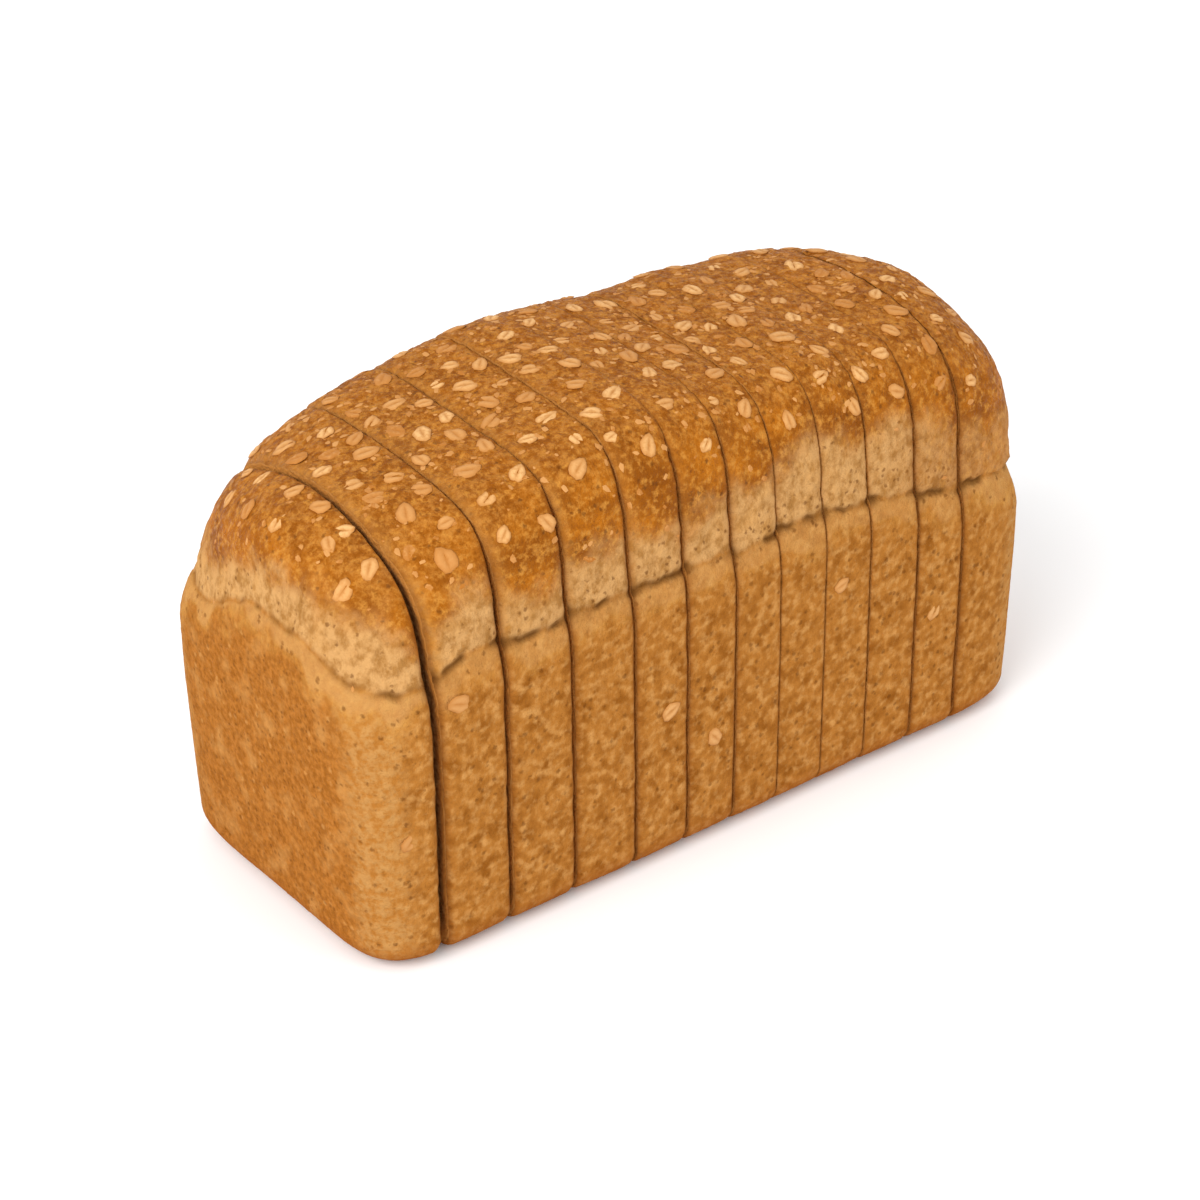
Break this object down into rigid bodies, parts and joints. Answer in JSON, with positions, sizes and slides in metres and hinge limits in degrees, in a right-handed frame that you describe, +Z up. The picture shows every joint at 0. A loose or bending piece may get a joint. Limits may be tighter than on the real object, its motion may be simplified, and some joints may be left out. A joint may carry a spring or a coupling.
{
  "type": "sliced tin loaf",
  "caption": "Wholemeal tin loaf cut into thick slices that still stand together, with straight tin-baked walls, a domed top crust and scattered oat flakes.",
  "frame": {"origin": "centre of the loaf's underside, on the surface that it rests on", "axes": "+X along the loaf from the near heel to the far heel, +Y across it, +Z up"},
  "size_m": [0.2515, 0.1102, 0.1444],
  "materials": {
    "crust": "golden brown baked crust, dull with a faint sheen on the dome, darkest along the ridge and pale above the crease",
    "heel_crust": "mid-brown tin-baked end crust, finely pored, with a golden dome",
    "oat_flakes": "dry matt cream to tan rolled oats, baked onto the crust"
  },
  "bodies": {
    "root": {"heel_near": "heel_crust", "slice_01": "crust", "slice_02": "crust", "slice_03": "crust", "slice_04": "crust", "slice_05": "crust", "slice_06": "crust", "slice_07": "crust", "slice_08": "crust", "slice_09": "crust", "slice_10": "crust", "heel_far": "heel_crust"}
  },
  "joints": []
}
